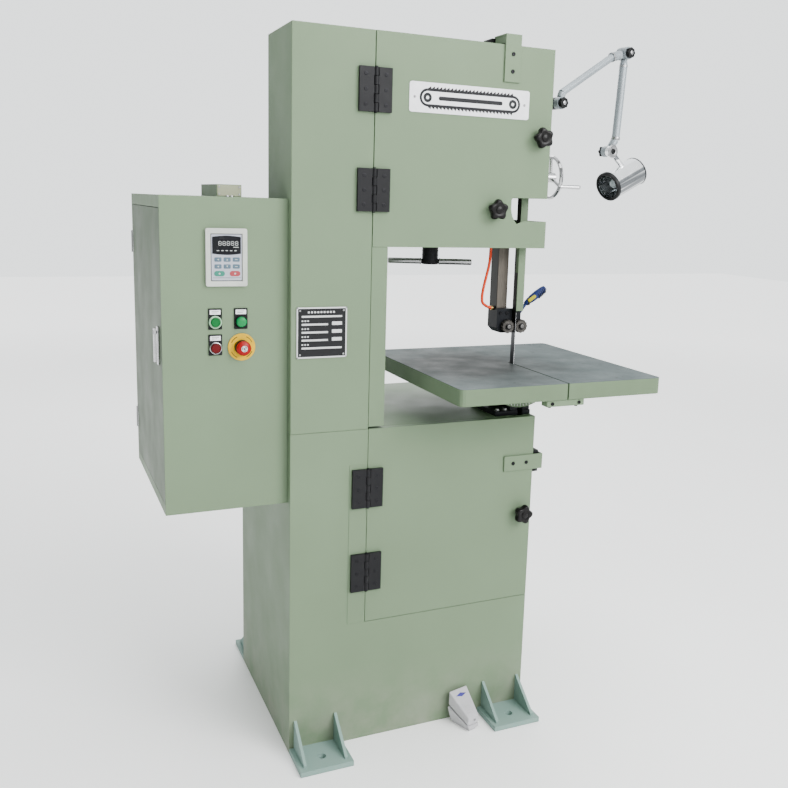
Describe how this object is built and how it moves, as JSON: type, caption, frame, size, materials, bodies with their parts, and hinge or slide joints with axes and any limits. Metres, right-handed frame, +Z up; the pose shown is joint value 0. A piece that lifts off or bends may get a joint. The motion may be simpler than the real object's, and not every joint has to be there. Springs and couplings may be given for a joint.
{
  "type": "band saw",
  "caption": "Vertical band saw with hinged wheel covers, tilting slotted table, height-adjustable blade guide, work lamp, foot switch and side electrical cabinet.",
  "frame": {"origin": "middle of the base's underside, on the floor", "axes": "+Z up; +X to the operator's right, from the column towards the blade; -Y out of the machine's front"},
  "size_m": [1.4459, 0.847, 1.9075],
  "materials": {
    "green_paint": "sage green machine enamel, satin",
    "cast_iron": "machined grey iron",
    "black_paint": "black enamel, satin",
    "dark_handle": "blackened steel, satin",
    "bare_steel": "drawn steel, slightly darkened",
    "blade_steel": "hardened dark blade steel",
    "chrome": "bright chrome plate",
    "lamp_chrome": "bright plated lamp shade",
    "lamp_tube": "satin anodised tube",
    "motor_casting": "cast aluminium, matt",
    "hinge_plastic": "black glass-filled nylon",
    "knob_plastic": "black phenolic",
    "white_plate": "white enamelled plate",
    "black_plate": "black printed aluminium plate",
    "grey_plastic": "light grey moulded plastic",
    "pedal_plastic": "off-white moulded plastic",
    "red_plastic": "glossy red moulding",
    "green_plastic": "glossy green moulding",
    "yellow_plastic": "glossy yellow moulding",
    "blue_plastic": "dark blue moulding",
    "red_hose": "orange-red polyurethane hose",
    "belt_rubber": "black ribbed rubber"
  },
  "bodies": {
    "frame": {"column": "green_paint", "base_housing": "green_paint", "rear_cover": "green_paint", "head_housing": "green_paint", "return_blade_cover": "green_paint", "upper_top_hinge_frame_leaf": "hinge_plastic", "upper_bottom_hinge_frame_leaf": "hinge_plastic", "lower_top_hinge_frame_leaf": "hinge_plastic", "lower_bottom_hinge_frame_leaf": "hinge_plastic", "data_plate": "black_plate", "motor": "motor_casting", "drive_belt": "belt_rubber", "lower_bearing_housing": "cast_iron", "trunnion_base": "black_paint", "blade": "blade_steel", "cabinet_shell": "green_paint", "speed_panel": "grey_plastic", "emergency_stop_plate": "yellow_plastic", "pilot_lamp": "green_plastic", "lamp_mount": "black_paint", "pedal_base": "pedal_plastic"},
    "upper_door": {"upper_door": "green_paint", "upper_top_hinge_door_leaf": "hinge_plastic", "upper_bottom_hinge_door_leaf": "hinge_plastic", "name_plate": "white_plate", "upper_interlock_bracket": "green_paint"},
    "lower_door": {"lower_door": "green_paint", "lower_top_hinge_door_leaf": "hinge_plastic", "lower_bottom_hinge_door_leaf": "hinge_plastic", "lower_interlock_bracket": "green_paint"},
    "upper_knob": {"upper_knob": "knob_plastic"},
    "middle_knob": {"middle_knob": "knob_plastic"},
    "lower_knob": {"lower_knob": "knob_plastic"},
    "cabinet_door": {"cabinet_door": "green_paint", "cabinet_handle_plate": "chrome"},
    "cabinet_handle": {"cabinet_handle": "chrome"},
    "guide_post": {"guide_post": "bare_steel", "guide_block": "black_paint", "blade_guard": "green_paint", "air_hose": "red_hose", "air_nozzle": "blue_plastic"},
    "left_guide_roller": {"left_guide_roller": "bare_steel"},
    "right_guide_roller": {"right_guide_roller": "bare_steel"},
    "handwheel": {"handwheel": "chrome"},
    "crank_handle": {"crank_handle": "chrome"},
    "wheel_carriage": {"wheel_carriage": "cast_iron"},
    "upper_wheel": {"upper_wheel": "cast_iron"},
    "tension_handle": {"tension_handle": "dark_handle"},
    "lower_wheel": {"lower_wheel": "cast_iron", "lower_shaft_pulley": "cast_iron"},
    "motor_pulley": {"motor_pulley": "cast_iron"},
    "table": {"table": "cast_iron", "table_alignment_bar": "green_paint"},
    "lamp_lower_arm": {"lamp_lower_arm": "lamp_tube"},
    "lamp_upper_arm": {"lamp_upper_arm": "lamp_tube"},
    "lamp_head": {"lamp_head": "lamp_chrome"},
    "start_button": {"start_button": "green_plastic"},
    "stop_button": {"stop_button": "red_plastic"},
    "emergency_stop_button": {"emergency_stop_button": "red_plastic"},
    "pedal_cover": {"pedal_cover": "pedal_plastic"}
  },
  "joints": [
    {"name": "upper_door_hinge", "type": "hinge", "parent": "frame", "child": "upper_door", "pos_m": [-0.146, -0.2718, 1.595], "axis": [0, 0, -1], "range_deg": [0, 120]},
    {"name": "lower_door_hinge", "type": "hinge", "parent": "frame", "child": "lower_door", "pos_m": [-0.146, -0.2718, 0.6015], "axis": [0, 0, -1], "range_deg": [0, 120]},
    {"name": "upper_knob_turn", "type": "hinge", "parent": "upper_door", "child": "upper_knob", "pos_m": [0.317, -0.265, 1.625], "axis": [0, 1, 0], "continuous": true},
    {"name": "middle_knob_turn", "type": "hinge", "parent": "upper_door", "child": "middle_knob", "pos_m": [0.192, -0.265, 1.438], "axis": [0, 1, 0], "continuous": true},
    {"name": "lower_knob_turn", "type": "hinge", "parent": "lower_door", "child": "lower_knob", "pos_m": [0.317, -0.265, 0.597], "axis": [0, 1, 0], "continuous": true},
    {"name": "cabinet_door_hinge", "type": "hinge", "parent": "frame", "child": "cabinet_door", "pos_m": [-0.6555, 0.265, 1.069], "axis": [0, 0, -1], "range_deg": [0, 110]},
    {"name": "cabinet_handle_turn", "type": "hinge", "parent": "cabinet_door", "child": "cabinet_handle", "pos_m": [-0.6524, -0.193, 1.131], "axis": [1, 0, 0], "range_deg": [0, 90]},
    {"name": "guide_post_lift", "type": "slide", "parent": "frame", "child": "guide_post", "axis": [0, 0, 1], "range_m": [-0.075, 0.155]},
    {"name": "left_guide_roller_spin", "type": "hinge", "parent": "guide_post", "child": "left_guide_roller", "pos_m": [0.2992, -0.17675, 1.116], "axis": [0, 1, 0], "continuous": true},
    {"name": "right_guide_roller_spin", "type": "hinge", "parent": "guide_post", "child": "right_guide_roller", "pos_m": [0.3408, -0.17675, 1.116], "axis": [0, 1, 0], "continuous": true},
    {"name": "handwheel_turn", "type": "hinge", "parent": "frame", "child": "handwheel", "pos_m": [0.4618, -0.0992, 1.532], "axis": [1, 0, 0], "range_deg": [-600, 300]},
    {"name": "crank_handle_spin", "type": "hinge", "parent": "handwheel", "child": "crank_handle", "pos_m": [0.4618, -0.14954, 1.50635], "axis": [1, 0, 0], "continuous": true},
    {"name": "wheel_carriage_slide", "type": "slide", "parent": "frame", "child": "wheel_carriage", "axis": [0, 0, 1], "range_m": [-0.02, 0]},
    {"name": "tension_handle_turn", "type": "hinge", "parent": "frame", "child": "tension_handle", "pos_m": [0.098, -0.079, 1.3], "axis": [0, 0, 1], "range_deg": [-1800, 0]},
    {"name": "upper_wheel_spin", "type": "hinge", "parent": "wheel_carriage", "child": "upper_wheel", "pos_m": [0.098, -0.175, 1.595], "axis": [0, 1, 0], "continuous": true},
    {"name": "lower_wheel_spin", "type": "hinge", "parent": "frame", "child": "lower_wheel", "pos_m": [0.098, -0.175, 0.605], "axis": [0, 1, 0], "continuous": true},
    {"name": "motor_pulley_spin", "type": "hinge", "parent": "frame", "child": "motor_pulley", "pos_m": [-0.137, 0.027, 0.15], "axis": [0, 1, 0], "continuous": true},
    {"name": "table_tilt", "type": "hinge", "parent": "frame", "child": "table", "pos_m": [0.32, -0.175, 1.0095], "axis": [0, 1, 0], "range_deg": [-10, 45]},
    {"name": "lamp_base_joint", "type": "hinge", "parent": "frame", "child": "lamp_lower_arm", "pos_m": [0.429, -0.165, 1.73], "axis": [-0.2079, 0.9781, 0], "range_deg": [-35, 15]},
    {"name": "lamp_elbow_joint", "type": "hinge", "parent": "lamp_lower_arm", "child": "lamp_upper_arm", "pos_m": [0.6784, -0.112, 1.89], "axis": [-0.2079, 0.9781, 0], "range_deg": [-60, 8]},
    {"name": "lamp_wrist_joint", "type": "hinge", "parent": "lamp_upper_arm", "child": "lamp_head", "pos_m": [0.6408, -0.12, 1.613], "axis": [-0.2079, 0.9781, 0], "range_deg": [-50, 25]},
    {"name": "start_button_press", "type": "slide", "parent": "frame", "child": "start_button", "axis": [0, 1, 0], "range_m": [0, 0.004], "stiffness_N_per_m": 500, "springref_m": -0.002},
    {"name": "stop_button_press", "type": "slide", "parent": "frame", "child": "stop_button", "axis": [0, 1, 0], "range_m": [0, 0.004], "stiffness_N_per_m": 500, "springref_m": -0.002},
    {"name": "emergency_stop_press", "type": "slide", "parent": "frame", "child": "emergency_stop_button", "axis": [0, 1, 0], "range_m": [0, 0.006], "stiffness_N_per_m": 1200, "springref_m": -0.002},
    {"name": "pedal_press", "type": "hinge", "parent": "frame", "child": "pedal_cover", "pos_m": [0.15397, -0.34204, 0.021], "axis": [-0.9703, -0.2419, 0], "range_deg": [0, 5], "stiffness_Nm_per_rad": 20, "springref_deg": -1.15}
  ],
  "couplings": [
    {"joint": "handwheel_turn", "follows": "guide_post_lift", "rad_per_m": -66.667},
    {"joint": "tension_handle_turn", "follows": "wheel_carriage_slide", "rad_per_m": 1570.8},
    {"joint": "upper_wheel_spin", "follows": "lower_wheel_spin", "ratio": 1},
    {"joint": "motor_pulley_spin", "follows": "lower_wheel_spin", "ratio": 2.7778}
  ]
}
